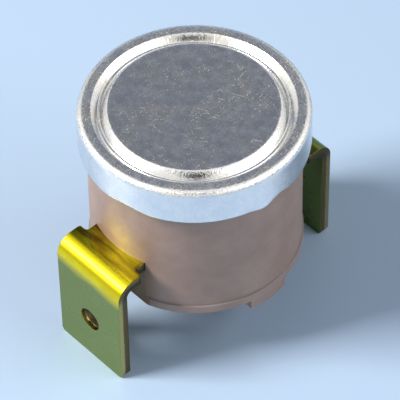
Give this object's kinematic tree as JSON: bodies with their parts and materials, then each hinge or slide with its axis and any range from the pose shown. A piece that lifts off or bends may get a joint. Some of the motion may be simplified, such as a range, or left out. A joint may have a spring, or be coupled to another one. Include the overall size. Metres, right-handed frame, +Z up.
{
  "type": "coffee machine thermostat",
  "caption": "Round snap-disc temperature switch with a grooved metal sensing cap on a moulded body and two bent brass blade terminals.",
  "frame": {"origin": "on the cap's axis, in the plane of the blade tips", "axes": "+Z up along the cap's axis to the sensing face, +X along the two terminals, towards the fixed contact's terminal"},
  "size_m": [0.0202, 0.016, 0.018],
  "materials": {
    "cap_metal": "satin",
    "bimetal": "satin",
    "guide_moulding": "matte",
    "pin_ceramic": "matte",
    "body_moulding": "satin",
    "terminal_brass": "satin",
    "rivet_brass": "satin",
    "spring_copper": "satin",
    "contact_silver": "satin"
  },
  "bodies": {
    "housing": {"cap": "cap_metal", "base_body": "body_moulding", "guide_plate": "guide_moulding", "bimetal_disc": "bimetal", "terminal_left": "terminal_brass", "terminal_right": "terminal_brass", "rivet_left": "rivet_brass", "rivet_right": "rivet_brass", "fixed_contact_plate": "terminal_brass", "fixed_contact": "contact_silver"},
    "push_pin": {"push_pin": "pin_ceramic"},
    "contact_arm": {"contact_arm": "spring_copper", "moving_contact": "contact_silver"}
  },
  "joints": [
    {"name": "pin_slide", "type": "slide", "parent": "housing", "child": "push_pin", "axis": [0, 0, -1], "range_m": [0, 0.0004], "deforming": ["bimetal_disc"]},
    {"name": "arm_flex", "type": "hinge", "parent": "housing", "child": "contact_arm", "pos_m": [-0.0037, 0, 0.01095], "axis": [0, 1, 0], "range_deg": [0, 6.25], "stiffness_Nm_per_rad": 0.0184, "springref_deg": -5.73, "deforming": ["contact_arm"]}
  ],
  "couplings": [
    {"joint": "arm_flex", "follows": "pin_slide", "rad_per_m": 270.27}
  ]
}
